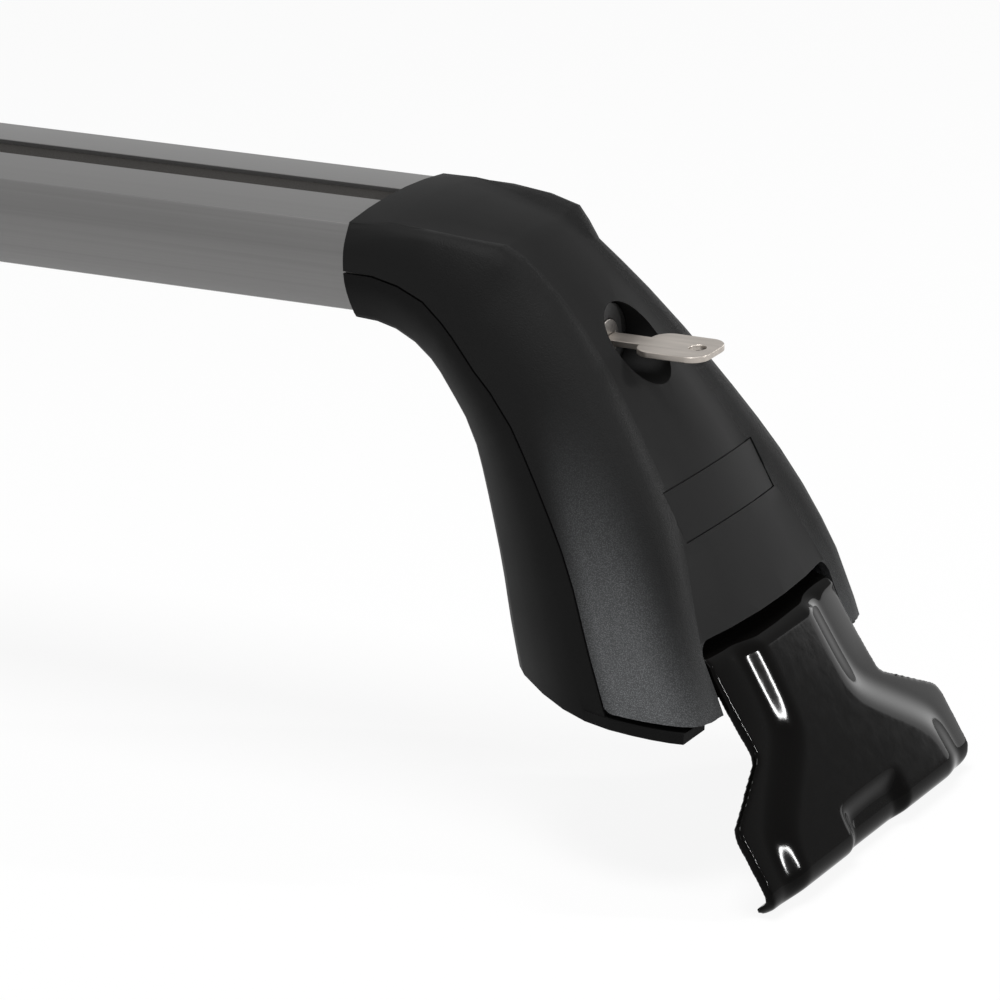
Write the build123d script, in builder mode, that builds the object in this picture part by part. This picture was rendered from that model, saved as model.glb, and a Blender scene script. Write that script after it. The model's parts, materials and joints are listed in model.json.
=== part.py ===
from build123d import *
import os
from collections import namedtuple
from math import ceil, cos, hypot, radians, sin, sqrt, tan

# A roof rack crossbar: one aluminium bar carried by two clamp feet.
# X runs along the bar, Y from front to back, Z up. The floor is under the hook lips.
# A foot is laid out in its own side view: x outboard from the collar, z up from the bar's crown.

# Bar
bar_width = 65.6
bar_height = 32.0
bar_wall = 2.2
bar_corner = 27.5
bar_crown = 1.8
bar_flat = 23.0
bar_entry = 14.0
foot_span = 840.0
slot_width = 13.0
slot_lip = 2.4
slot_channel_width = 22.0
slot_channel_depth = 12.0
strip_sink = 1.6
strip_shoulder = 18.0
strip_foot = 2.2
strip_gap = 0.1

# Tower of the foot
collar_lip = 1.2
collar_drop = 2.1
collar_under = 0.8
socket_gap = 0.3
shell_wall = 2.7
parting_gap = 0.35
bay_length = 16.0
side_facets = 4
base_lip = 3.5
base_tilt = 5.7
base_depth = 106.0
base_heel_x = 57.0
base_toe_x = 140.0
cover_edge_gap = 0.6
cover_edge_tilt = 4.6
cover_corner = 5.0
cheek_inner = 16.0
cheek_wall = 4.0
saddle_wall = 4.0
toe_setback = 19.0
lip_setback = 11.0
notch_gap = 2.0

# Hook opening and badge in the cover
opening_half = 42.0
opening_height = 20.0
opening_corner = 5.0
badge_x = 115.4
badge_z = -82.0
badge_slope = 63.0
badge_width = 57.5
badge_height = 17.4
badge_bow = 135.0
badge_thickness = 1.0
badge_sink = 0.15
badge_gap = 0.35
badge_bed_gap = 0.05

# Lock, on an axis that runs straight outboard
lock_z = -38.5
lock_floor_x = 73.0
lock_recess_r = 12.0
lock_boss_wall = 2.6
lock_floor = 3.0
housing_r = 9.0
housing_flange_r = 11.5
housing_flange = 2.0
housing_depth = 15.5
lock_nut_flats = 20.0
lock_nut_height = 3.5
plug_r = 6.2
plug_tail = 4.5
plug_proud = 0.3
plug_fit = 0.06
keyway_width = 8.4
keyway_height = 2.3
keyway_depth = 16.0
cam_thickness = 2.5
cam_reach = 15.0
cam_width = 7.0
cam_screw_r = 1.6
cam_screw_head_r = 3.4
cam_screw_head = 2.3
cam_screw_depth = 5.5
catch_thickness = 3.0
catch_gap = 1.0
catch_overlap = 4.5
catch_height = 27.0

# Key
key_thickness = 2.0
key_blade_width = 8.0
key_blade_seen = 13.0
key_seat = 0.5
key_bow_length = 25.0
key_bow_width = 20.0
key_bow_corner = 6.0
key_bow_hole_r = 2.8
key_bow_hole_inset = 6.5

# Clamp hook: a pressed steel plate in its own slope, s down the plate and n outward
hook_setback = 11.2
hook_rise = 16.8
hook_slope = 61.0
hook_plate = 3.0
hook_joggle = 9.0
hook_joggle_start = -5.0
hook_joggle_end = 4.0
hook_side_gap = 1.2
hook_waist_s = 36.0
hook_flare_s = 51.0
hook_flare_half = 68.0
hook_tip_s = 78.0
hook_tip_n = -9.0
hook_bend = 5.0
hook_corner = 5.0
hook_panel_border = 13.0
hook_panel_rise = 3.0
hook_panel_taper = 40.0
hook_panel_top_s = 7.0
hook_notch_half = 14.0
hook_notch_depth = 10.0
liner_thickness = 2.0
liner_length = 14.0
liner_inset = 4.0

# Pivot and tension bolt of the hook
pin_s = -42.0
pin_r = 3.5
pin_fit = 0.06
pin_overhang = 2.0
eye_wall = 2.7
eye_gap = 1.0
ear_wall = 4.0
swing_room = 10.0
bolt_s = -21.0
bolt_r = 4.0
bolt_length = 44.0
bolt_tip = 1.2
bolt_head_r = 6.5
bolt_head = 4.6
bolt_socket_flats = 5.0
bolt_socket_depth = 2.6
bolt_fit = 0.06
bolt_hole_r = 6.4
washer_r = 9.0
washer_height = 2.6
washer_edge = 0.8
washer_hole_r = 5.4
ball_r = 9.0
ball_gap = 0.35
ring_height = 1.2
ring_wall = 2.4
ring_gap = 1.6
nut_r = 7.5
nut_depth = 30.0

# Bar fastening and roof pad
spigot_in = 60.0
spigot_gap = 0.15
spigot_clearance = 2.5
bar_bolt_inset = 5.5
bar_bolt_pitch = 10.5
bar_bolt_r = 3.0
bar_bolt_fit = 0.2
bar_bolt_grip = 9.0
bar_bolt_end = 1.0
bar_bolt_head_r = 5.0
bar_bolt_head = 3.6
pad_height = 4.0
pad_heel = 13.0
pad_length = 46.0
pad_heel_half = 33.0
pad_toe_half = 45.0
pad_corner = 8.0
pad_groove = 2.0
pad_grooves = 4

# Places that follow from the sizes above
bar_length = foot_span + 2 * bar_entry
collar_x = foot_span / 2
hook_cos = cos(radians(hook_slope))
hook_sin = sin(radians(hook_slope))
base_heel_z = -bar_height - base_depth
base_toe_z = base_heel_z - (base_toe_x - base_heel_x) * tan(radians(base_tilt))
opening_top = base_heel_z + opening_height
hook_root = (base_toe_x - hook_setback, base_heel_z + hook_rise)
bar_top = hook_sin * hook_tip_s - hook_cos * hook_tip_n - hook_root[1]
reach = 90.0


def foot_point(x, z, y=0.0):
    """A place of the right foot's side view, in the frame of the whole crossbar."""
    return (collar_x + x, y, bar_top + z)


def hook_point(s, n):
    """Side-view place of a point s down the hook's plate and n outward from its flange."""
    return (hook_root[0] + hook_cos * s + hook_sin * n, hook_root[1] - hook_sin * s + hook_cos * n)


def slope_plane(x, z, slope):
    """Plane through a side-view place that falls outboard by the slope; its x runs down the fall."""
    fall = radians(slope)
    return Plane(foot_point(x, z), x_dir=(cos(fall), 0, -sin(fall)), z_dir=(sin(fall), 0, cos(fall)))


SIDE = Plane(foot_point(0, 0), x_dir=(1, 0, 0), z_dir=(0, -1, 0))
BAR_END = Plane((-bar_length / 2, 0, bar_top), x_dir=(0, 1, 0), z_dir=(1, 0, 0))
STRIP_END = Plane((-foot_span / 2, 0, bar_top), x_dir=(0, 1, 0), z_dir=(1, 0, 0))
COLLAR = Plane(foot_point(0, 0), x_dir=(0, 1, 0), z_dir=(1, 0, 0))
OPENING = Plane(foot_point(badge_x, opening_top), x_dir=(0, 1, 0), z_dir=(1, 0, 0))
LOCK = Plane(foot_point(0, lock_z), x_dir=(0, 1, 0), z_dir=(1, 0, 0))
KEY_FLAT = Plane(foot_point(0, lock_z), x_dir=(1, 0, 0), z_dir=(0, 0, 1))
BASE = slope_plane(base_heel_x, base_heel_z, base_tilt)
COVER_EDGE = slope_plane(base_heel_x, base_heel_z + base_lip + cover_edge_gap, cover_edge_tilt)
BADGE = slope_plane(badge_x, badge_z, badge_slope)
HOOK_FACE = slope_plane(*hook_root, hook_slope)
HOOK_SIDE = Plane(foot_point(*hook_root), x_dir=HOOK_FACE.x_dir, z_dir=(0, -1, 0))

# Bar: the section is drawn once, for the extrusion and for the sockets that hold it
with BuildSketch() as bar_outline:
    with BuildLine():
        crown = ThreePointArc((-bar_corner, -bar_crown), (0, 0), (bar_corner, -bar_crown))
        back_nose = ThreePointArc(
            crown @ 1, (bar_width / 2, -bar_height / 2), (bar_corner, bar_crown - bar_height)
        )
        under = Polyline(
            back_nose @ 1,
            (bar_flat, -bar_height),
            (-bar_flat, -bar_height),
            (-bar_corner, bar_crown - bar_height),
        )
        ThreePointArc(under @ 1, (-bar_width / 2, -bar_height / 2), crown @ 0)
    make_face()

slot_block_half = slot_channel_width / 2 + bar_wall
slot_floor_z = -slot_channel_depth - bar_wall
with BuildSketch() as bar_hollow:
    add(bar_outline.sketch)
    offset(amount=-bar_wall)
    with Locations((0, slot_floor_z)):
        Rectangle(2 * slot_block_half, bar_height, align=(Align.CENTER, Align.MIN), mode=Mode.SUBTRACT)
    for side in (-1, 1):
        with Locations((side * (slot_block_half - bar_wall / 2), 0)):
            Rectangle(bar_wall, 3 * bar_height, mode=Mode.SUBTRACT)

with BuildPart() as bar:
    with BuildSketch(BAR_END):
        add(bar_outline.sketch)
        add(bar_hollow.sketch, mode=Mode.SUBTRACT)
        Rectangle(slot_width, 2 * slot_channel_depth, mode=Mode.SUBTRACT)
        with Locations((0, -slot_lip)):
            Rectangle(
                slot_channel_width,
                slot_channel_depth - slot_lip,
                align=(Align.CENTER, Align.MAX),
                mode=Mode.SUBTRACT,
            )
    extrude(amount=bar_length)

# Rubber strip that fills the T-slot between the feet
with BuildPart() as slot_strip:
    with BuildSketch(STRIP_END):
        with Locations((0, -strip_sink)):
            Rectangle(
                slot_width - 2 * strip_gap,
                slot_lip - strip_sink + strip_foot,
                align=(Align.CENTER, Align.MAX),
            )
        with Locations((0, -slot_lip - strip_gap)):
            Rectangle(strip_shoulder, strip_foot - strip_gap, align=(Align.CENTER, Align.MAX))
    extrude(amount=foot_span)

# Tower: sections through the foot, from the collar on the bar down to the base.
# Each lies between a point of the outer spine and a point of the inner curve. Across it, the side
# swells from the flat inner face to its widest place, then rolls over a ridge into the spine's crease.
# Depth is counted below the bar, flat and crease beyond its corner, wide beyond its nose.
Station = namedtuple("Station", "outer_x outer_z inner_x depth flat wide wide_at crease drop rise spread")
key_stations = [
    Station(0, collar_lip, 0, collar_under, -1, collar_lip, 0.5, collar_lip, collar_drop, -5, 3.5),
    Station(14, 2.0, 7.5, 1.4, -1.4, 2.0, 0.5, -1.2, 2.0, -2, 4),
    Station(27, 0, 14, 3.2, -1.8, 2.6, 0.5, -3.6, 1.8, 2, 4.5),
    Station(40, -2.6, 20.5, 6.8, -2.2, 3.3, 0.48, -7, 1.7, 4, 7),
    Station(51.5, -4.6, 26, 11.6, -2.4, 4, 0.42, -10.2, 1.4, 4.2, 7.5),
    Station(56.5, -7.6, 29, 15.4, -2.5, 4.3, 0.41, -10.8, 1.3, 3, 5.5),
    Station(61.4, -12, 31, 18.6, -2.6, 4.8, 0.41, -11.4, 1.3, 1.5, 4.4),
    Station(69.3, -19.1, 34.5, 24, -2.6, 5.8, 0.41, -11, 1.4, 1.5, 5.4),
    Station(88.2, -40.7, 41.5, 37.5, -2, 9.2, 0.465, -8, 2, 2, 8.5),
    Station(badge_x, badge_z, 49.5, 70, 0, 17.5, 0.53, 0.5, 3, 3.5, 12.5),
    Station(130.6, opening_top, 54, 92, 2, 25, 0.56, 13.5, 3.6, 2.5, 11),
    Station(base_toe_x, base_toe_z, base_heel_x, base_depth, 3, 28.5, 0.58, 18, 3.6, 0, 9),
]


def eased(before, start, end, after, t):
    """Value between start and end on a smooth curve that also heeds the values before and after."""
    lead = (end - before) / 2
    trail = (after - start) / 2
    return (
        start
        + lead * t
        + (3 * (end - start) - 2 * lead - trail) * t**2
        + (2 * (start - end) + lead + trail) * t**3
    )


stations = []
for number in range(len(key_stations) - 1):
    before = key_stations[max(number - 1, 0)]
    start = key_stations[number]
    end = key_stations[number + 1]
    after = key_stations[min(number + 2, len(key_stations) - 1)]
    bays = ceil(hypot(end.outer_x - start.outer_x, end.outer_z - start.outer_z) / bay_length)
    for bay in range(bays):
        values = [eased(*four, bay / bays) for four in zip(before, start, end, after)]
        stations.append(Station(*values))
stations.append(key_stations[-1])


def station_length(st):
    return hypot(st.outer_x - st.inner_x, st.outer_z + bar_height + st.depth)


def station_point(st, inset):
    """Side-view place on a section's middle line, inset outward from the inner curve."""
    share = inset / station_length(st)
    inner_z = -bar_height - st.depth
    return (st.inner_x + share * (st.outer_x - st.inner_x), inner_z + share * (st.outer_z - inner_z))


def station_plane(st):
    """Plane of a section: its x runs from the inner curve to the spine, its y is the depth."""
    start = Vector(*foot_point(*station_point(st, 0)))
    along = (Vector(*foot_point(st.outer_x, st.outer_z)) - start).normalized()
    return Plane(start, x_dir=along, z_dir=along.cross(Vector(0, 1, 0)))


def side_curves(st):
    """Four curves of a section's side, each by three control points: corner, flank, swell and ridge."""
    u_wide = st.wide_at * station_length(st)
    flat = bar_corner + st.flat
    wide = bar_width / 2 + st.wide
    crease = Vector(station_length(st) - st.drop, bar_corner + st.crease)
    corner_pull = Vector(0, flat + 0.16 * (wide - flat))
    flank_pull = Vector(0.64 * u_wide, wide)
    ridge_pull = crease + Vector(st.rise, st.spread)
    swell_pull = Vector(u_wide + 0.5 * (ridge_pull.X - u_wide), wide)
    corner_end = corner_pull + (flank_pull - corner_pull) * 0.2
    swell_end = swell_pull + (ridge_pull - swell_pull) * 0.6
    return (
        (Vector(0, flat), corner_pull, corner_end),
        (corner_end, flank_pull, Vector(u_wide - parting_gap, wide)),
        (Vector(u_wide + parting_gap, wide), swell_pull, swell_end),
        (swell_end, ridge_pull, crease),
    )


def parting_place(st):
    """Place of a section's widest line, in the middle plane."""
    return Vector(*foot_point(*station_point(st, st.wide_at * station_length(st))))


def flipped(points):
    return [Vector(p.X, -p.Y) for p in reversed(points)]


def faceted(curve, facets):
    """Points along a curve given by three control points, without the last one."""
    start, pull, end = curve
    shares = [step / facets for step in range(facets)]
    return [start * (1 - t) ** 2 + pull * (2 * t * (1 - t)) + end * t**2 for t in shares]


def cover_skin(st):
    """Outer outline of the cover's part of a section, from one parting to the other."""
    swell, ridge = side_curves(st)[2:]
    crease = ridge[2]
    half = faceted(swell, side_facets) + faceted(ridge, side_facets)
    spine = (crease, Vector(2 * station_length(st) - crease.X, 0), Vector(crease.X, -crease.Y))
    return half + faceted(spine, side_facets + 1) + [spine[2]] + flipped(half)


def body_skin(st):
    """Outer outline of the body's part of a section, from one parting to the other."""
    corner, flank = side_curves(st)[:2]
    half = faceted(corner, side_facets // 2) + faceted(flank, side_facets) + [flank[2]]
    return flipped(half) + half


def cover_lining(st, inset):
    """Hollow of a section on the cover's side, inset from the outer skin."""
    swell, ridge = side_curves(st)[2:]
    half = [
        swell[0] - Vector(0, inset),
        swell[2] - Vector(0.7, 0.7) * inset,
        ridge[2] - Vector(1.0, 0.4) * inset,
    ]
    return half + flipped(half)


def body_lining(st, inset):
    """Hollow of a section on the body's side, inset from the inner face and the flanks."""
    corner, flank = side_curves(st)[:2]
    half = [
        corner[0] + Vector(inset, 0),
        flank[0] + Vector(0.8, -0.6) * inset,
        flank[2] - Vector(0, inset),
    ]
    return flipped(half) + half


def flat_face(*corners):
    return Face(Wire.make_polygon(corners))


def faceted_loft(outline):
    """Solid of flat facets through the sections at all stations, whose outline is given by a function."""
    rings = [[station_plane(st).from_local_coords(p) for p in outline(st)] for st in stations]
    facets = [flat_face(*rings[0]), flat_face(*rings[-1])]
    for near, far in zip(rings, rings[1:]):
        for number in range(len(near)):
            a, b, c, d = near[number - 1], near[number], far[number], far[number - 1]
            if (a - c).length < (b - d).length:
                facets += [flat_face(a, b, c), flat_face(a, c, d)]
            else:
                facets += [flat_face(a, b, d), flat_face(b, c, d)]
    return Solid(Shell(facets))


# Space of the bar inside a foot
with BuildPart() as bar_socket:
    with BuildSketch(COLLAR.offset(-bar_entry)):
        add(bar_outline.sketch)
        offset(amount=socket_gap)
    extrude(amount=2 * bar_entry + socket_gap)

# Boss of the lock's recess, up to the middle of the cover's wall
with BuildPart() as lock_boss:
    add(faceted_loft(lambda st: cover_lining(st, shell_wall / 2)))
    with BuildSketch(LOCK.offset(lock_floor_x - lock_floor)):
        Circle(lock_recess_r + lock_boss_wall)
    extrude(amount=reach, mode=Mode.INTERSECT)

# Right foot's cover: the outer half of the tower, a moulded shell that is open towards the body
edge_fall = COVER_EDGE.x_dir
parting_fall = (parting_place(stations[-1]) - parting_place(stations[-2])).normalized()
edge_start = Vector(*foot_point(base_heel_x, base_heel_z + base_lip + cover_edge_gap))
parting_end = parting_place(stations[-1])
to_edge = COVER_EDGE.z_dir.dot(edge_start - parting_end) / COVER_EDGE.z_dir.dot(parting_fall)
cover_heel = parting_end + parting_fall * to_edge
heel_opening = edge_fall.get_angle(parting_fall * -1) / 2
heel_run = cover_corner / tan(radians(heel_opening))
heel_inward = (edge_fall - parting_fall).normalized()
BADGE_END = Plane(
    BADGE.origin - BADGE.x_dir * badge_height / 2, x_dir=(0, 1, 0), z_dir=BADGE.x_dir
)
badge_bed_r = badge_bow - badge_sink - badge_thickness

with BuildPart() as foot_cover:
    add(faceted_loft(lambda st: cover_skin(st) + cover_lining(st, shell_wall)[::-1]))
    split(bisect_by=COVER_EDGE, keep=Keep.TOP)
    add(bar_socket.part, mode=Mode.SUBTRACT)
    add(lock_boss.part)
    with BuildSketch(LOCK.offset(lock_floor_x)):
        Circle(lock_recess_r)
    extrude(amount=reach, mode=Mode.SUBTRACT)
    with BuildSketch(LOCK.offset(lock_floor_x - 2 * lock_floor)):
        Circle(housing_r + plug_fit)
    extrude(amount=4 * lock_floor, mode=Mode.SUBTRACT)
    with BuildSketch(OPENING) as opening:
        Rectangle(2 * opening_half, reach, align=(Align.CENTER, Align.MAX))
        fillet(opening.vertices().group_by(Axis.Z)[-1], opening_corner)
    extrude(amount=reach, both=True, mode=Mode.SUBTRACT)
    with BuildSketch(BADGE_END):
        Rectangle(badge_width, 8 * badge_thickness)
        with Locations((0, -badge_bow)):
            Circle(badge_bed_r, mode=Mode.SUBTRACT)
    extrude(amount=badge_height, mode=Mode.SUBTRACT)
    with BuildSketch(SIDE):
        with BuildLine():
            heel_arc = ThreePointArc(
                *[
                    SIDE.to_local_coords(place)
                    for place in (
                        cover_heel - parting_fall * heel_run,
                        cover_heel + heel_inward * cover_corner * (1 / sin(radians(heel_opening)) - 1),
                        cover_heel + edge_fall * heel_run,
                    )
                ]
            )
            Polyline(heel_arc @ 1, SIDE.to_local_coords(cover_heel - heel_inward), heel_arc @ 0)
        make_face()
    extrude(amount=reach, both=True, mode=Mode.SUBTRACT)

# Blank badge plate, let into the cover's outer face
with BuildPart() as badge_plate:
    with BuildSketch(BADGE_END.offset(badge_gap)):
        with Locations((0, -badge_bow)):
            Circle(badge_bow - badge_sink)
            Circle(badge_bed_r + badge_bed_gap, mode=Mode.SUBTRACT)
        Rectangle(badge_width - 2 * badge_gap, 8 * badge_thickness, mode=Mode.INTERSECT)
    extrude(amount=badge_height - 2 * badge_gap)

# Places of the pivot pin, the barrel nut, the lock's parts and the bar's spigot in side view
pin_n = -hook_joggle - hook_plate / 2
pin_place = hook_point(pin_s, pin_n)
nut_place = hook_point(bolt_s, -hook_joggle - nut_depth)
housing_end_x = lock_floor_x - housing_depth
plug_end_x = housing_end_x - plug_tail
plug_face_x = lock_floor_x + housing_flange + plug_proud
cam_back_x = plug_end_x - cam_thickness
catch_x = plug_end_x + catch_gap
catch_top = lock_z - cam_reach + catch_overlap
spigot_out = cam_back_x - cam_screw_head - spigot_clearance
bar_bolt_x = [spigot_out - bar_bolt_inset - bar_bolt_pitch * number for number in (0, 1)]
saddle_top = bar_wall - bar_height + spigot_gap
saddle_start = bar_entry + socket_gap


def base_place(u, h):
    """Side-view place u along the base from its heel and h above it."""
    tilt = radians(base_tilt)
    return (base_heel_x + cos(tilt) * u + sin(tilt) * h, base_heel_z - sin(tilt) * u + cos(tilt) * h)


# Cheek of the body: one of the two webs that carry the pivot pin, the barrel nut and the catch
behind_hook = -hook_joggle - hook_plate
toe_u = station_length(stations[-1]) - toe_setback
with BuildSketch() as cheek_outline:
    with BuildLine():
        Polyline(
            *[station_point(st, shell_wall / 2) for st in key_stations[2:-1]],
            base_place(shell_wall / 2, base_lip / 2),
            base_place(toe_u, base_lip / 2),
            hook_point(0, behind_hook - swing_room),
            hook_point(pin_s + 2 * pin_r, behind_hook - ear_wall),
            (pin_place[0] - pin_r - ear_wall, pin_place[1] + pin_r + ear_wall),
            (catch_x + 2 * catch_thickness, catch_top),
            (catch_x, catch_top),
            (spigot_out, saddle_top - 2 * saddle_wall),
            (spigot_out, saddle_top),
            (saddle_start, saddle_top),
            close=True,
        )
    make_face()
    with Locations(pin_place):
        Circle(pin_r + ear_wall)
        Circle(pin_r + pin_fit, mode=Mode.SUBTRACT)
    with Locations(nut_place):
        Circle(nut_r + pin_fit, mode=Mode.SUBTRACT)

# Right foot's body: inner fairing, base, cheeks, saddle under the bar's spigot and lock catch
with BuildPart() as foot_body:
    add(faceted_loft(lambda st: body_skin(st) + body_lining(st, shell_wall)[::-1]))
    with BuildSketch(BASE):
        with BuildLine():
            Polyline(*body_skin(stations[-1]), *cover_skin(stations[-1]), close=True)
        make_face()
    extrude(amount=base_lip)
    add(bar_socket.part, mode=Mode.SUBTRACT)
    for cheek_y in (cheek_inner, -cheek_inner - cheek_wall):
        with BuildSketch(SIDE.offset(cheek_y)):
            add(cheek_outline.sketch)
        extrude(amount=cheek_wall)
    with BuildSketch(SIDE):
        with Locations((saddle_start, saddle_top)):
            Rectangle(spigot_out - saddle_start, saddle_wall, align=(Align.MIN, Align.MAX))
        with Locations((catch_x, catch_top)):
            Rectangle(catch_thickness, catch_height, align=(Align.MIN, Align.MAX))
    extrude(amount=cheek_inner + cheek_wall / 2, both=True)
    with Locations(*[foot_point(x, saddle_top) for x in bar_bolt_x]):
        Cylinder(bar_bolt_r + bar_bolt_fit, 3 * saddle_wall, mode=Mode.SUBTRACT)
    with BuildSketch(BASE.offset(-base_lip)):
        with Locations((toe_u, 0)):
            Rectangle(reach, 2 * (opening_half + notch_gap), align=(Align.MIN, Align.CENTER))
        with Locations((station_length(stations[-1]) - lip_setback, 0)):
            Rectangle(reach, 2 * reach, align=(Align.MIN, Align.CENTER))
    extrude(amount=3 * base_lip, mode=Mode.SUBTRACT)

# Rubber pad under the base, with grooves across
with BuildPart() as roof_pad:
    with BuildSketch(BASE) as pad_plan:
        with BuildLine():
            Polyline(
                (pad_heel, -pad_heel_half),
                (pad_heel + pad_length, -pad_toe_half),
                (pad_heel + pad_length, pad_toe_half),
                (pad_heel, pad_heel_half),
                close=True,
            )
        make_face()
        fillet(pad_plan.vertices(), pad_corner)
    extrude(amount=-pad_height)
    with BuildSketch(BASE.offset(-pad_height)):
        for row in range(pad_grooves):
            with Locations((pad_heel + (row + 1) * pad_length / (pad_grooves + 1), 0)):
                Rectangle(pad_groove, 2 * pad_toe_half)
    extrude(amount=pad_groove / 2, mode=Mode.SUBTRACT)

# Clamp hook, pressed from plate: eye on the pivot pin, joggled neck, raised panel, curled lip
hook_neck_half = opening_half - hook_side_gap
eye_half = cheek_inner - eye_gap
eye_r = pin_r + eye_wall
shoulder_s = pin_s + 2 * eye_r
lip_start_s = hook_tip_s - hook_plate / 2 - hook_bend
panel_end_s = lip_start_s - hook_panel_rise * tan(radians(hook_panel_taper))


def hook_sides(inset):
    """Waist and flare of the plate's front outline, brought in all round by the inset."""
    return [
        (hook_waist_s + 0.3 * inset, hook_neck_half - inset),
        (hook_flare_s + 0.5 * inset, hook_flare_half - inset),
    ]


def both_sides(half):
    """Closed outline from the half on one side of the middle line."""
    return half + [(s, -y) for s, y in reversed(half)]


with BuildPart() as hook_plan:
    with BuildSketch(HOOK_FACE.offset(-reach / 2)) as hook_front:
        with BuildLine():
            neck = [
                (pin_s - eye_r, eye_half),
                (shoulder_s, eye_half),
                (shoulder_s, hook_neck_half),
                *hook_sides(0),
                (hook_tip_s, hook_flare_half),
            ]
            Polyline(*both_sides(neck), close=True)
        make_face()
        fillet(hook_front.vertices().group_by(Axis.X)[2:], hook_corner)
    extrude(amount=reach)

with BuildPart() as hook_panel:
    with BuildSketch(HOOK_FACE.offset(hook_panel_rise)):
        with BuildLine():
            waist, flare = hook_sides(hook_panel_border)
            panel = [
                (hook_panel_top_s, waist[1]),
                waist,
                flare,
                (panel_end_s, flare[1]),
                (panel_end_s, hook_notch_half),
                (panel_end_s - hook_notch_depth, hook_notch_half),
            ]
            Polyline(*both_sides(panel), close=True)
        make_face()
    extrude(amount=-hook_panel_rise - hook_plate, taper=-hook_panel_taper)

with BuildPart() as clamp_hook:
    with BuildSketch(HOOK_SIDE):
        with BuildLine():
            FilletPolyline(
                (pin_s, pin_n),
                (hook_joggle_start, pin_n),
                (hook_joggle_end, -hook_plate / 2),
                (hook_tip_s - hook_plate / 2, -hook_plate / 2),
                (hook_tip_s - hook_plate / 2, hook_tip_n),
                radius=hook_bend,
            )
        trace(line_width=hook_plate)
    extrude(amount=reach, both=True)
    add(hook_plan.part, mode=Mode.INTERSECT)
    add(hook_panel.part)
    add(hook_panel.part.moved(Location(HOOK_FACE.z_dir * -hook_plate)), mode=Mode.SUBTRACT)
    with BuildSketch(HOOK_SIDE):
        with Locations((pin_s, pin_n)):
            Circle(eye_r)
    extrude(amount=eye_half, both=True)
    with BuildSketch(HOOK_SIDE):
        with Locations((pin_s, pin_n)):
            Circle(pin_r + pin_fit)
    extrude(amount=eye_half, both=True, mode=Mode.SUBTRACT)
    with BuildSketch(HOOK_FACE.offset(-hook_joggle - 2 * hook_plate)):
        with Locations((bolt_s, 0)):
            Circle(bolt_hole_r)
    extrude(amount=3 * hook_plate, mode=Mode.SUBTRACT)

# Rubber liner on the hook's inner face, above the lip
with BuildPart() as hook_liner:
    with BuildSketch(HOOK_FACE.offset(-hook_plate)):
        with Locations((lip_start_s, 0)):
            Rectangle(
                liner_length, 2 * (hook_flare_half - liner_inset), align=(Align.MAX, Align.CENTER)
            )
    extrude(amount=-liner_thickness)

# Pivot pin of the hook, through the body's cheeks
with BuildPart() as hook_pin:
    with BuildSketch(HOOK_SIDE):
        with Locations((pin_s, pin_n)):
            Circle(pin_r)
    extrude(amount=cheek_inner + cheek_wall + pin_overhang, both=True)

# Tension bolt: its ball-shaped underside sits in a dished washer on the hook's plate
BOLT_AXIS = Axis(foot_point(*hook_point(bolt_s, 0)), HOOK_FACE.z_dir)
seat_n = -hook_joggle
ball_n = seat_n + washer_edge + sqrt(ball_r**2 - washer_hole_r**2)
head_ball_r = ball_r - ball_gap
head_low_n = ball_n - sqrt(head_ball_r**2 - bolt_head_r**2)
head_top_n = head_low_n + bolt_head
neck_n = ball_n - sqrt(head_ball_r**2 - bolt_r**2)
dish_r = sqrt(ball_r**2 - (ball_n - seat_n - washer_height) ** 2)
with BuildPart() as tension_bolt:
    with BuildSketch(HOOK_SIDE):
        with BuildLine():
            underside = RadiusArc(
                (bolt_s + bolt_head_r, head_low_n), (bolt_s + bolt_r, neck_n), head_ball_r
            )
            Polyline(
                underside @ 1,
                (bolt_s + bolt_r, seat_n - bolt_length + bolt_tip),
                (bolt_s + bolt_r - bolt_tip, seat_n - bolt_length),
                (bolt_s, seat_n - bolt_length),
                (bolt_s, head_top_n),
                (bolt_s + bolt_head_r, head_top_n),
                underside @ 0,
            )
        make_face()
    revolve(axis=BOLT_AXIS)
    with BuildSketch(HOOK_FACE.offset(head_top_n)):
        with Locations((bolt_s, 0)):
            RegularPolygon(bolt_socket_flats / 2, 6, major_radius=False)
    extrude(amount=-bolt_socket_depth, mode=Mode.SUBTRACT)

# Washer whose seat is the cone that the ball's gap leaves free
with BuildPart() as tension_washer:
    with BuildSketch(HOOK_SIDE):
        with BuildLine():
            Polyline(
                (bolt_s + dish_r, seat_n + washer_height),
                (bolt_s + washer_hole_r, seat_n + washer_edge),
                (bolt_s + washer_hole_r, seat_n),
                (bolt_s + washer_r, seat_n),
                (bolt_s + washer_r, seat_n + washer_height),
                close=True,
            )
        make_face()
    revolve(axis=BOLT_AXIS)

# Ring that keeps the bolt on the plate when it is undone
with BuildPart() as bolt_ring:
    with BuildSketch(HOOK_FACE.offset(behind_hook - ring_gap)):
        with Locations((bolt_s, 0)):
            Circle(bolt_r + ring_wall)
            Circle(bolt_r + bolt_fit, mode=Mode.SUBTRACT)
    extrude(amount=-ring_height)

# Barrel nut across the cheeks, tapped for the bolt
with BuildPart() as barrel_nut:
    with BuildSketch(SIDE):
        with Locations(nut_place):
            Circle(nut_r)
    extrude(amount=cheek_inner + cheek_wall, both=True)
    with BuildSketch(HOOK_FACE.offset(seat_n - nut_depth - 2 * nut_r)):
        with Locations((bolt_s, 0)):
            Circle(bolt_r + bolt_fit)
    extrude(amount=4 * nut_r, mode=Mode.SUBTRACT)

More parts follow.
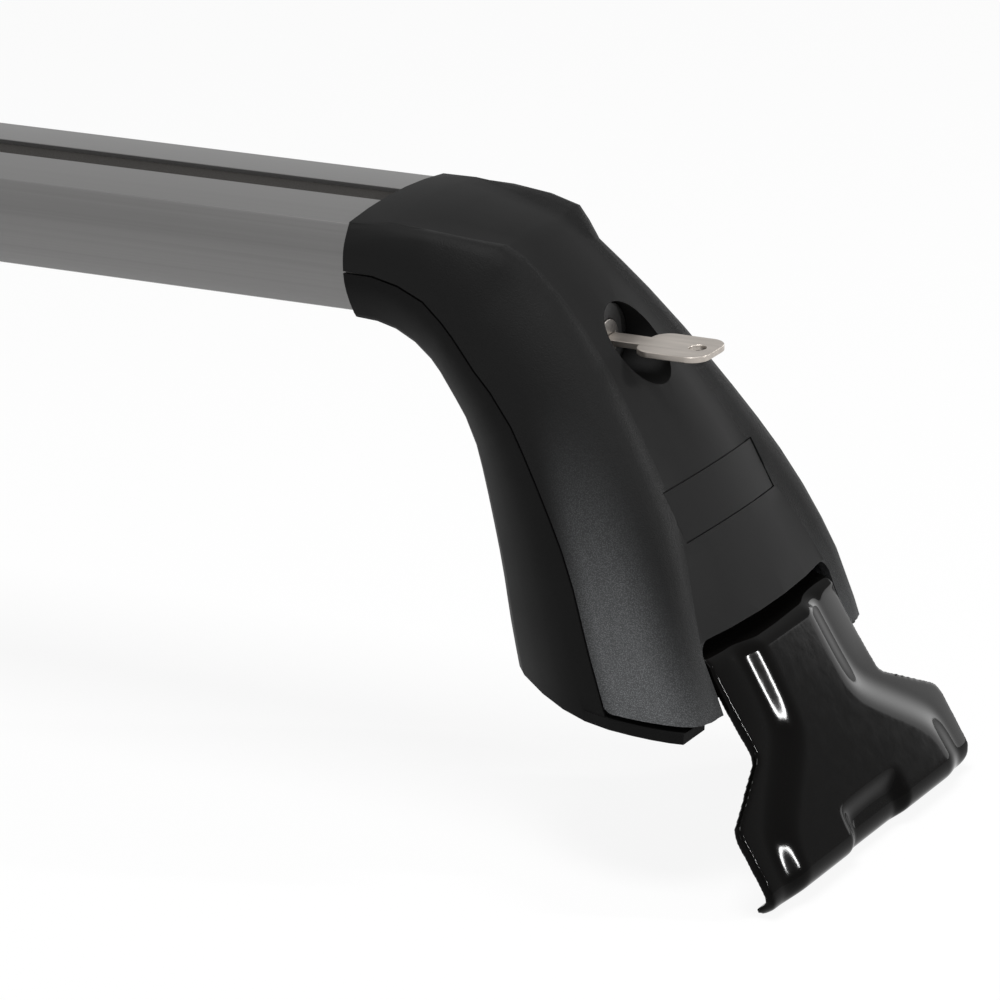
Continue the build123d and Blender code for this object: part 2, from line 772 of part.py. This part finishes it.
# Spigot in the bar's lower chamber, held to the saddle by two screws from below
spigot_height = slot_floor_z - spigot_gap - saddle_top
with BuildPart() as bar_spigot:
    with BuildSketch(COLLAR.offset(-spigot_in)):
        with Locations((0, saddle_top)):
            Rectangle(
                slot_channel_width - 2 * spigot_gap, spigot_height, align=(Align.CENTER, Align.MIN)
            )
    extrude(amount=spigot_in + spigot_out)
    with Locations(*[foot_point(x, saddle_top) for x in bar_bolt_x]):
        Cylinder(bar_bolt_r + bolt_fit, 2 * (bar_bolt_grip + bar_bolt_end), mode=Mode.SUBTRACT)

with BuildPart() as bar_bolts:
    for x in bar_bolt_x:
        with BuildSketch(Plane.XY.offset(bar_top + saddle_top - saddle_wall)):
            with Locations((collar_x + x, 0)):
                Circle(bar_bolt_r)
        extrude(amount=saddle_wall + bar_bolt_grip)
        with BuildSketch(Plane.XY.offset(bar_top + saddle_top - saddle_wall - bar_bolt_head)):
            with Locations((collar_x + x, 0)):
                Circle(bar_bolt_head_r)
        extrude(amount=bar_bolt_head)

# Lock: housing through the recess floor, its nut behind, plug, cam and cam screw
with BuildPart() as lock_housing:
    with BuildSketch(LOCK.offset(housing_end_x)):
        Circle(housing_r)
    extrude(amount=housing_depth)
    with BuildSketch(LOCK.offset(lock_floor_x)):
        Circle(housing_flange_r)
    extrude(amount=housing_flange)
    with BuildSketch(LOCK.offset(housing_end_x)):
        Circle(plug_r + plug_fit)
    extrude(amount=housing_depth + housing_flange, mode=Mode.SUBTRACT)

with BuildPart() as lock_nut:
    with BuildSketch(LOCK.offset(lock_floor_x - lock_floor)):
        RegularPolygon(lock_nut_flats / 2, 6, major_radius=False)
        Circle(housing_r + plug_fit, mode=Mode.SUBTRACT)
    extrude(amount=-lock_nut_height)

with BuildPart() as lock_plug:
    with BuildSketch(LOCK.offset(plug_end_x)):
        Circle(plug_r)
    extrude(amount=plug_face_x - plug_end_x)
    with BuildSketch(LOCK.offset(plug_face_x)):
        Rectangle(keyway_width, keyway_height)
    extrude(amount=-keyway_depth, mode=Mode.SUBTRACT)
    with BuildSketch(LOCK.offset(plug_end_x)):
        Circle(cam_screw_r + plug_fit)
    extrude(amount=cam_screw_depth, mode=Mode.SUBTRACT)

with BuildPart() as lock_cam:
    with BuildSketch(LOCK.offset(cam_back_x)):
        Circle(plug_r)
        with Locations((-cam_reach, 0)):
            Rectangle(cam_reach, cam_width, align=(Align.MIN, Align.CENTER))
        Circle(cam_screw_r + plug_fit, mode=Mode.SUBTRACT)
    extrude(amount=cam_thickness)

with BuildPart() as cam_screw:
    with BuildSketch(LOCK.offset(cam_back_x)):
        Circle(cam_screw_r)
    extrude(amount=cam_thickness + cam_screw_depth)
    with BuildSketch(LOCK.offset(cam_back_x)):
        Circle(cam_screw_head_r)
    extrude(amount=-cam_screw_head)

# Key, flat in the plug's keyway
key_tip_x = plug_face_x - keyway_depth + key_seat
key_bow_x = plug_face_x + key_blade_seen
with BuildPart() as key:
    with BuildSketch(KEY_FLAT):
        with Locations((key_tip_x, 0)):
            Rectangle(
                key_bow_x - key_tip_x + key_bow_corner, key_blade_width, align=(Align.MIN, Align.CENTER)
            )
        with Locations((key_bow_x + key_bow_length / 2, 0)):
            RectangleRounded(key_bow_length, key_bow_width, key_bow_corner)
        with Locations((key_bow_x + key_bow_length - key_bow_hole_inset, 0)):
            Circle(key_bow_hole_r, mode=Mode.SUBTRACT)
    extrude(amount=key_thickness / 2, both=True)

# One STEP file for each piece: the left foot is the right one turned half round
os.makedirs("parts", exist_ok=True)
for name, piece in (("bar", bar), ("slot_strip", slot_strip), ("key", key)):
    piece.part.label = name
    export_step(piece.part, f"parts/{name}.step")
for name, piece in (
    ("foot_cover", foot_cover),
    ("badge_plate", badge_plate),
    ("foot_body", foot_body),
    ("roof_pad", roof_pad),
    ("clamp_hook", clamp_hook),
    ("hook_liner", hook_liner),
    ("hook_pin", hook_pin),
    ("tension_bolt", tension_bolt),
    ("tension_washer", tension_washer),
    ("bolt_ring", bolt_ring),
    ("barrel_nut", barrel_nut),
    ("bar_spigot", bar_spigot),
    ("bar_bolts", bar_bolts),
    ("lock_housing", lock_housing),
    ("lock_nut", lock_nut),
    ("lock_plug", lock_plug),
    ("lock_cam", lock_cam),
    ("cam_screw", cam_screw),
):
    piece.part.label = f"right_{name}"
    export_step(piece.part, f"parts/right_{name}.step")
    turned = piece.part.rotate(Axis.Z, 180)
    turned.label = f"left_{name}"
    export_step(turned, f"parts/left_{name}.step")
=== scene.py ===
import json
from math import cos, hypot, pi, radians, sin, sqrt

import bpy
from mathutils import Euler, Matrix, Vector


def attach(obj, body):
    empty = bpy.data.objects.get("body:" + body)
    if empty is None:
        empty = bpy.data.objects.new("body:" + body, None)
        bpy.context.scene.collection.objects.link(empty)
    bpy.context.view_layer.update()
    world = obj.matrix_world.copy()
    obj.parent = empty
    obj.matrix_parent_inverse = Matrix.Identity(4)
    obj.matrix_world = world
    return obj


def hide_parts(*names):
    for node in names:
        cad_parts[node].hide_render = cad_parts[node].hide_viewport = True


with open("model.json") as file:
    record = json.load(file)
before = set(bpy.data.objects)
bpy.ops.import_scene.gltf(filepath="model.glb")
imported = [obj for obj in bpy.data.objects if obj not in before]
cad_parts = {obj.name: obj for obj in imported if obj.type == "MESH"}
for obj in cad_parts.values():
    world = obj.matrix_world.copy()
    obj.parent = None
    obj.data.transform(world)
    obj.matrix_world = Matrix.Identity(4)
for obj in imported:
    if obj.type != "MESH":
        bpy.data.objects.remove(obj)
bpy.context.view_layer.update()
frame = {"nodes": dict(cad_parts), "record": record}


# Crossbar: one extruded aluminium profile with a crowned top and a T-slot, anodised satin grey.
# Faint lines from the die run along it. Its cut ends are inside the two feet.


class Shade:
    """A socket of a finish. Sums and products of shades become Math nodes of the same finish."""

    def __init__(self, tree, socket=None):
        self.tree = tree
        self.socket = socket

    def make(self, kind, settings, inputs, output=0):
        """Adds a node of that kind: first its settings, then the values or links of its sockets."""
        node = self.tree.nodes.new(kind)
        for name, value in settings.items():
            setattr(node, name, value)
        for name, value in inputs.items():
            if isinstance(value, Shade):
                self.tree.links.new(value.socket, node.inputs[name])
            else:
                node.inputs[name].default_value = value
        return Shade(self.tree, node.outputs[output] if node.outputs else None)

    def math(self, operation, *values):
        return self.make("ShaderNodeMath", {"operation": operation}, dict(enumerate(values)))

    def __add__(self, other):
        return self.math("ADD", self, other)

    __radd__ = __add__

    def __mul__(self, other):
        return self.math("MULTIPLY", self, other)

    __rmul__ = __mul__

    def __sub__(self, other):
        return self.math("SUBTRACT", self, other)

    def __rsub__(self, other):
        return self.math("SUBTRACT", other, self)

    def __abs__(self):
        return self.math("ABSOLUTE", self)

    def place(self):
        """Coordinates of the piece's own object: those of the whole crossbar, in metres."""
        return self.make("ShaderNodeTexCoord", {}, {}, "Object")

    def part(self, axis):
        return self.make("ShaderNodeSeparateXYZ", {}, {0: self}, axis)

    def stretched(self, scale, turn=(0.0, 0.0, 0.0)):
        inputs = {"Vector": self, "Rotation": turn, "Scale": scale}
        return self.make("ShaderNodeMapping", {}, inputs)

    def noise(self, scale, detail=2.0):
        inputs = {"Vector": self, "Scale": scale, "Detail": detail}
        return self.make("ShaderNodeTexNoise", {}, inputs, "Fac")

    def cells(self, scale):
        """Distance to the nearest of many scattered points."""
        return self.make("ShaderNodeTexVoronoi", {}, {"Vector": self, "Scale": scale}, "Distance")

    def step(self, zero_at, one_at):
        """Runs softly from 0 at one value to 1 at the other."""
        inputs = {"Value": self, "From Min": zero_at, "From Max": one_at}
        return self.make("ShaderNodeMapRange", {"interpolation_type": "SMOOTHSTEP"}, inputs)

    def tint(self, dark, light):
        """Colour between two, by this value."""
        return self.make("ShaderNodeMix", {"data_type": "RGBA"}, {0: self, 6: dark, 7: light}, 2)

    def relief(self, height, strength=1.0):
        """Surface normal of a relief of that height in metres, by this value."""
        inputs = {"Strength": strength, "Distance": height, "Height": self}
        return self.make("ShaderNodeBump", {}, inputs, "Normal")


def grey(level, warmth=0.0):
    return (level * (1 + warmth), level, level * (1 - warmth), 1.0)


def new_finish(name, **fixed):
    """A material whose shader has these sockets fixed, and a shade to start its nodes from."""
    finish = bpy.data.materials.new(name)
    finish.use_nodes = True
    shader = finish.node_tree.nodes["Principled BSDF"]
    for socket, value in fixed.items():
        shader.inputs[socket.replace("_", " ")].default_value = value
    return finish, Shade(finish.node_tree).place()


def wire(finish, **shades):
    """Links shades to the sockets of a finish's shader."""
    shader = finish.node_tree.nodes["Principled BSDF"]
    for socket, shade in shades.items():
        finish.node_tree.links.new(shade.socket, shader.inputs[socket.replace("_", " ")])


behaviour = frame["record"]["behaviour"]
body_of = {node: body for body, nodes in behaviour["bodies"].items() for node in nodes}


def select_only(piece):
    bpy.ops.object.select_all(action="DESELECT")
    piece.select_set(True)
    bpy.context.view_layer.objects.active = piece


def stand_for(piece, node):
    """Puts a piece in a CAD piece's stead, on its body."""
    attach(piece, body_of[node])
    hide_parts(node)


weld_distance = 2e-6
level_angle = radians(0.4)
broken_edge = 0.0003


def finished(node, finish, sharp=30.0, edge=0.0):
    """Copy of a CAD piece in its stead: faces joined, edges broken, curves smoothed."""
    mesh = frame["nodes"][node].data.copy()
    piece = bpy.data.objects.new(f"{node}_finished", mesh)
    bpy.context.collection.objects.link(piece)
    select_only(piece)
    bpy.ops.mesh.customdata_custom_splitnormals_clear()
    bpy.ops.object.mode_set(mode="EDIT")
    bpy.ops.mesh.select_all(action="SELECT")
    bpy.ops.mesh.remove_doubles(threshold=weld_distance)
    bpy.ops.mesh.dissolve_limited(angle_limit=level_angle)
    bpy.ops.object.mode_set(mode="OBJECT")
    if edge:
        broken = piece.modifiers.new("broken edges", "BEVEL")
        broken.width = edge
        broken.segments = 3
        broken.angle_limit = radians(sharp)
        bpy.ops.object.modifier_apply(modifier=broken.name)
    bpy.ops.object.shade_smooth_by_angle(angle=radians(sharp))
    evened = piece.modifiers.new("even shading", "WEIGHTED_NORMAL")
    evened.keep_sharp = True
    bpy.ops.object.modifier_apply(modifier=evened.name)
    mesh.materials.clear()
    mesh.materials.append(finish)
    stand_for(piece, node)
    return piece


anodised, place = new_finish("anodised aluminium", Metallic=0.85)
die_lines = place.stretched((3.0, 900.0, 900.0)).noise(1.0, 3.0)
clouding = place.stretched((6.0, 30.0, 30.0)).noise(1.0)
wire(
    anodised,
    Base_Color=(0.7 * die_lines + 0.3 * clouding).tint(grey(0.155, 0.01), grey(0.225, 0.01)),
    Roughness=0.32 + 0.12 * die_lines,
    Normal=die_lines.relief(0.00002, 0.35),
)
finished("bar", anodised, edge=broken_edge)


# Slot strip: an extruded rubber cord pressed into the T-slot between the feet.
# Its top is sunk below the crown and has fine ribs along it.
strip_rubber, place = new_finish("slot rubber", Specular_IOR_Level=0.15)
rib = place.stretched((0.0, 1.0, 0.0)).make(
    "ShaderNodeTexWave", {"bands_direction": "Y"}, {"Scale": 140.0}, "Fac"
)
grain = place.noise(2500.0)
wire(
    strip_rubber,
    Base_Color=grain.tint(grey(0.014, 0.06), grey(0.034, 0.08)),
    Roughness=0.6 + 0.2 * grain,
    Normal=(rib + 0.2 * grain).relief(0.0002, 0.5),
)
finished("slot_strip", strip_rubber)


# Foot cover: the outer half of the tower, one black moulding that lifts off once it is unlocked.
# Its spine is smooth. Its bulging sides have a fine spark-eroded grain that starts past the collar.
# The grain's speckle has painted light low down and painted shade toward the parting and the ridge.
sides = ("right", "left")
collar_x = 0.42
shell_sharp = 38.0
parting_lean = 0.35
ridge_lean = 0.5
crease_line = (
    (0.0, 0.0285),
    (0.014, 0.0261),
    (0.027, 0.0237),
    (0.04, 0.0203),
    (0.0515, 0.0171),
    (0.0614, 0.0159),
    (0.0693, 0.0163),
    (0.0882, 0.0193),
    (0.1154, 0.0278),
    (0.1306, 0.0408),
    (0.14, 0.0453),
)


def spine_half(x):
    """Half width of the smooth spine at a distance outboard from the collar."""
    for (near_x, near_half), (far_x, far_half) in zip(crease_line, crease_line[1:]):
        if x <= far_x:
            break
    share = (x - near_x) / (far_x - near_x)
    return near_half + share * (far_half - near_half)


spine_plastic, place = new_finish("smooth black moulding", Specular_IOR_Level=0.06)
fine = place.noise(4000.0)
flow = place.noise(35.0)
wire(
    spine_plastic,
    Base_Color=flow.tint(grey(0.007), grey(0.011)),
    Roughness=0.48 + 0.08 * fine + 0.06 * flow,
    Normal=fine.relief(0.00001, 0.25),
)

panel_plastic, place = new_finish("grained black moulding", Specular_IOR_Level=0.1)
outboard = abs(place.part("X")) - collar_x
height = place.part("Z")
grained = outboard.step(0.026, 0.036)
pits = place.cells(2200.0)
sparks = place.cells(2700.0).step(0.6, 0.1)
# Painted light and shade: the grain's speckle is painted lighter low down and darker toward the
# parting and the ridge.
painted_light_low = height.step(0.155, 0.05)
painted_parting_shade = (outboard + parting_lean * height).step(0.117, 0.129)
painted_ridge_shade = (outboard + ridge_lean * height).step(0.169, 0.15)
speckle_and_painted_light = painted_light_low * painted_parting_shade * painted_ridge_shade * (0.4 + 0.6 * sparks)
fine = place.noise(3200.0)
wire(
    panel_plastic,
    Base_Color=speckle_and_painted_light.tint(grey(0.006), grey(0.18, -0.03)),
    Roughness=0.44 + 0.1 * grained + 0.06 * fine,
    Normal=(grained * (pits + 0.6 * fine)).relief(0.0002, 0.5),
)

for side in sides:
    cover = finished(f"{side}_foot_cover", spine_plastic, sharp=shell_sharp)
    cover.data.materials.append(panel_plastic)
    for face in cover.data.polygons:
        x = abs(face.center.x) - collar_x
        if abs(face.center.y) > spine_half(x):
            face.material_index = 1


# Badge plate: a thin plain plate let into the cover's outer face, left bare.
# It is moulded in the same black and glued on its bed; a hairline gap runs round it.
badge_edge = 0.0001
for side in sides:
    finished(f"{side}_badge_plate", spine_plastic, edge=badge_edge)


# Foot body: the inner half of the tower, a black glass-filled moulding that carries all the rest.
# Its fairing and base lip are satin smooth; the cheeks inside are the same plastic.
body_plastic, place = new_finish("satin black moulding", Specular_IOR_Level=0.04)
fine = place.noise(2600.0)
flow = place.noise(40.0)
wire(
    body_plastic,
    Base_Color=flow.tint(grey(0.005), grey(0.008)),
    Roughness=0.42 + 0.12 * fine,
    Normal=fine.relief(0.00003, 0.35),
)
for side in sides:
    finished(f"{side}_foot_body", body_plastic, sharp=shell_sharp)


# Roof pad and hook liner: moulded soft rubber, pushed onto the base and the hook's inner face.
# They keep the paint of the car off the plastic and the steel.
rounded_edge = 0.0004
soft_rubber, place = new_finish("soft black rubber", Specular_IOR_Level=0.3)
grain = place.noise(1800.0, 4.0)
wire(
    soft_rubber,
    Base_Color=grain.tint(grey(0.018), grey(0.035)),
    Roughness=0.7 + 0.2 * grain,
    Normal=grain.relief(0.0001, 0.4),
)
for side in sides:
    finished(f"{side}_roof_pad", soft_rubber, edge=rounded_edge)
    finished(f"{side}_hook_liner", soft_rubber, edge=rounded_edge)


# Clamp hook: steel plate pressed with a joggled neck, soft raised panel and curled lip, painted.
# The panel's flanks follow the plate's waist and flare, and the border beside it falls a little.
# A shallow recess opens at the lip's middle.
hook_root = Vector((0.5488, 0.0, 0.0725836))
hook_slope = radians(61.0)
hook_fall = Vector((cos(hook_slope), 0.0, -sin(hook_slope)))
hook_out = Vector((sin(hook_slope), 0.0, cos(hook_slope)))
hook_plate = 0.003
back_depth = 0.0006
pair_distance = 0.00015
plate_start = 0.0043
lip_start = 0.0714
neck_end = 0.001
neck_run = 0.007
panel_rise = 0.0032
panel_flank = 0.013
panel_waist = 0.0205
panel_flare = 0.055
panel_blend = 0.006
flare_start = 0.035
flare_end = 0.059
flare_run = hypot(flare_end - flare_start, panel_flare - panel_waist)
recess_half = 0.017
recess_top = 0.0655
recess_flank = 0.007
recess_blend = 0.003
border_fall = 0.001
border_width = 0.013
even_voxel = 0.0007
smoothing_passes = 9


def eased(share):
    """Runs from 0 to 1 with level ends."""
    share = min(max(share, 0.0), 1.0)
    return share * share * (3.0 - 2.0 * share)


def soft_larger(one, other, blend):
    """The larger of two, rounded over where they are nearly equal."""
    return 0.5 * (one + other + sqrt((one - other) ** 2 + blend**2))


def soft_smaller(one, other, blend):
    return -soft_larger(-one, -other, blend)


def panel_height(down, across):
    """Height of the pressed panel over the plate, at a place down the plate and across it."""
    across = abs(across)
    beyond_flare = (down - flare_start) * (panel_flare - panel_waist) / flare_run
    beyond_flare -= (across - panel_waist) * (flare_end - flare_start) / flare_run
    inside_flare = soft_smaller(beyond_flare, panel_flare - across, panel_blend)
    inside = soft_larger(panel_waist - across, inside_flare, panel_blend)
    in_recess = soft_smaller(recess_half - across, down - recess_top, recess_blend)
    raised = eased(inside / panel_flank + 0.5) * (1.0 - eased(in_recess / recess_flank + 0.5))
    outside = max(-inside - panel_flank / 2, 0.0) / border_width
    off_neck = eased((down - neck_end) / neck_run)
    return (panel_rise * raised - border_fall * outside**2) * off_neck


def on_hook(point):
    """How far a point is down the right hook's plate, across it and out from its face."""
    from_root = point - hook_root
    return from_root.dot(hook_fall), from_root.y, from_root.dot(hook_out)


def pressed_hook(finish):
    """The right hook, its plate laid flat, meshed evenly and pressed to the panel's form."""
    piece = finished("right_clamp_hook", finish)
    corners = [on_hook(vertex.co) for vertex in piece.data.vertices]
    for vertex, (down, across, out) in zip(piece.data.vertices, corners):
        if plate_start < down < lip_start:
            above = [n - out for s, y, n in corners if hypot(s - down, y - across) < pair_distance]
            # A corner is on the back if it lies deep, or if a corner of the face is right above it.
            on_back = out < -back_depth or max(above) > hook_plate / 2
            level = -hook_plate if on_back else 0.0
            vertex.co += hook_out * (level - out)
    even = piece.modifiers.new("even mesh", "REMESH")
    even.mode = "VOXEL"
    even.voxel_size = even_voxel
    bpy.ops.object.modifier_apply(modifier=even.name)
    for vertex in piece.data.vertices:
        down, across, out = on_hook(vertex.co)
        vertex.co += hook_out * panel_height(down, across)
    soft = piece.modifiers.new("soft bends", "SMOOTH")
    soft.factor = 0.5
    soft.iterations = smoothing_passes
    bpy.ops.object.modifier_apply(modifier=soft.name)
    bpy.ops.object.shade_smooth()
    return piece


gloss_black, place = new_finish("gloss black paint", Specular_IOR_Level=0.05)
peel = place.noise(220.0)
dust = place.cells(700.0).step(0.05, 0.02)
wire(
    gloss_black,
    Base_Color=dust.tint(grey(0.002, 0.06), grey(0.012, 0.05)),
    Roughness=0.05 + 0.05 * peel,
    Normal=peel.relief(0.0001, 0.1),
)
right_hook = pressed_hook(gloss_black)
left_hook = bpy.data.objects.new("left_clamp_hook_finished", right_hook.data.copy())
left_hook.data.transform(Matrix.Rotation(pi, 4, "Z"))
bpy.context.collection.objects.link(left_hook)
stand_for(left_hook, "left_clamp_hook")


# Clamp fasteners: pivot pin, tension bolt with its dished washer and captive ring, barrel nut, and
# the bar's screws. All are turned from steel and zinc plated.
clamp_fasteners = (
    "hook_pin",
    "tension_bolt",
    "tension_washer",
    "bolt_ring",
    "barrel_nut",
    "bar_bolts",
)
zinc, place = new_finish("zinc plated steel", Metallic=1.0)
spangle = place.noise(600.0, 3.0)
wire(
    zinc,
    Base_Color=spangle.tint(grey(0.42, 0.01), grey(0.58, 0.02)),
    Roughness=0.28 + 0.16 * spangle,
    Normal=spangle.relief(0.00002, 0.4),
)
for side in sides:
    for name in clamp_fasteners:
        finished(f"{side}_{name}", zinc, edge=broken_edge)


# Bar spigot: a sawn length of aluminium block that ties the bar to the foot's saddle.
# It is left as milled, with fine saw marks across it.
milled, place = new_finish("milled aluminium", Metallic=1.0)
marks = place.stretched((900.0, 8.0, 8.0)).noise(1.0, 3.0)
wire(
    milled,
    Base_Color=marks.tint(grey(0.45), grey(0.6)),
    Roughness=0.32 + 0.2 * marks,
    Normal=marks.relief(0.00003, 0.4),
)
for side in sides:
    finished(f"{side}_bar_spigot", milled, edge=rounded_edge)


# Lock: a die-cast housing through the recess floor with its nut, and a nickel plug with a cam
# screwed to its back. The housing is dark and satin; the plug's face is turned bright.
dark_cast, place = new_finish("dark die cast", Metallic=0.6)
grain = place.noise(1500.0)
wire(
    dark_cast,
    Base_Color=grain.tint(grey(0.025), grey(0.05)),
    Roughness=0.35 + 0.15 * grain,
    Normal=grain.relief(0.00003, 0.4),
)
nickel, place = new_finish("turned nickel", Metallic=1.0)
swirl = place.stretched((40.0, 1400.0, 1400.0)).noise(1.0)
wire(
    nickel,
    Base_Color=swirl.tint(grey(0.4, 0.05), grey(0.55, 0.06)),
    Roughness=0.25 + 0.15 * swirl,
    Normal=swirl.relief(0.00002, 0.4),
)
for side in sides:
    finished(f"{side}_lock_housing", dark_cast, edge=rounded_edge)
    finished(f"{side}_lock_plug", nickel, edge=broken_edge)
    for name in ("lock_nut", "lock_cam", "cam_screw"):
        finished(f"{side}_{name}", zinc, edge=broken_edge)


# Key: stamped from nickel silver, flat, with a plain square bow and a hole for a ring.
# It stands in the right foot's lock.
key_nickel, place = new_finish("key nickel", Metallic=0.9)
scuff = place.stretched((60.0, 500.0, 60.0), (0.0, 0.0, 0.4)).noise(1.0, 4.0)
wire(
    key_nickel,
    Base_Color=scuff.tint(grey(0.32, 0.1), grey(0.5, 0.09)),
    Roughness=0.3 + 0.18 * scuff,
    Normal=scuff.relief(0.00003, 0.4),
)
finished("key", key_nickel, edge=broken_edge)


# Floor and light: a plain white sweep with soft lamps, as in a catalogue picture. The floor keeps
# the crossbar's shadow, and the world is pale to the camera and in reflections. A small lamp draws
# the streaks on the hook, and a low one behind lights the hook's far border.
floor_width = 60.0
floor_glow = 0.9


def shown(start):
    """1 on rays from the camera, in reflections and through glass, else 0."""
    rays = ("Is Camera Ray", "Is Glossy Ray", "Is Transmission Ray")
    seen, mirrored, through = (start.make("ShaderNodeLightPath", {}, {}, ray) for ray in rays)
    return start.math("MINIMUM", seen + mirrored + through, 1.0)


bpy.ops.object.select_all(action="DESELECT")
bpy.ops.mesh.primitive_plane_add(size=floor_width)
floor = bpy.context.object
floor.name = "floor"
white_floor = bpy.data.materials.new("white floor")
white_floor.use_nodes = True
tree = white_floor.node_tree
tree.nodes.clear()
start = Shade(tree)
matte = start.make("ShaderNodeBsdfDiffuse", {}, {"Color": grey(0.8)})
glow = start.make("ShaderNodeEmission", {}, {"Color": grey(1.0), "Strength": 1.0})
blend = start.make("ShaderNodeMixShader", {}, {0: floor_glow * shown(start), 1: matte, 2: glow})
start.make("ShaderNodeOutputMaterial", {}, {"Surface": blend})
floor.data.materials.append(white_floor)

world = bpy.data.worlds.new("studio")
world.use_nodes = True
bpy.context.scene.world = world
tree = world.node_tree
tree.nodes.clear()
start = Shade(tree)
ambient = start.make("ShaderNodeBackground", {}, {"Color": grey(1.0), "Strength": 0.25})
backdrop = start.make("ShaderNodeBackground", {}, {"Color": grey(0.7), "Strength": 1.0})
blend = start.make("ShaderNodeMixShader", {}, {0: shown(start), 1: ambient, 2: backdrop})
start.make("ShaderNodeOutputWorld", {}, {"Surface": blend})

look_at = Vector((0.52, 0.0, 0.1))
for name, spot, width, depth, watts in (
    ("overhead lamp", (0.55, -0.25, 1.75), 0.8, 0.6, 26.0),
    ("front lamp", (0.75, -1.65, 0.85), 0.7, 0.6, 5.0),
    ("streak lamp", (2.15, 0.6, 0.8), 0.07, 0.22, 16.0),
    ("far lamp", (1.1, 2.0, 0.32), 1.3, 0.5, 7.5),
):
    lamp = bpy.data.lights.new(name, "AREA")
    lamp.shape = "RECTANGLE"
    lamp.size = width
    lamp.size_y = depth
    lamp.energy = watts
    holder = bpy.data.objects.new(name, lamp)
    bpy.context.collection.objects.link(holder)
    holder.location = spot
    holder.rotation_euler = (look_at - Vector(spot)).to_track_quat("-Z", "Y").to_euler()


# Camera: a long lens, above the near foot and to its right, with a slight lean.
# The bar runs out of the picture on the left.
camera_turn = 31.23
camera_dip = 19.51
camera_lean = -2.73
camera_data = bpy.data.cameras.new("camera")
camera_data.sensor_width = 36.0
camera_data.lens = 214.56
camera = bpy.data.objects.new("camera", camera_data)
bpy.context.collection.objects.link(camera)
camera.location = (1.38229, -1.53306, 0.731)
upright = Euler((radians(90 - camera_dip), 0, radians(camera_turn))).to_matrix()
camera.rotation_euler = (upright @ Matrix.Rotation(radians(camera_lean), 3, "Z")).to_euler()
bpy.context.scene.camera = camera
bpy.context.scene.view_settings.view_transform = "Standard"
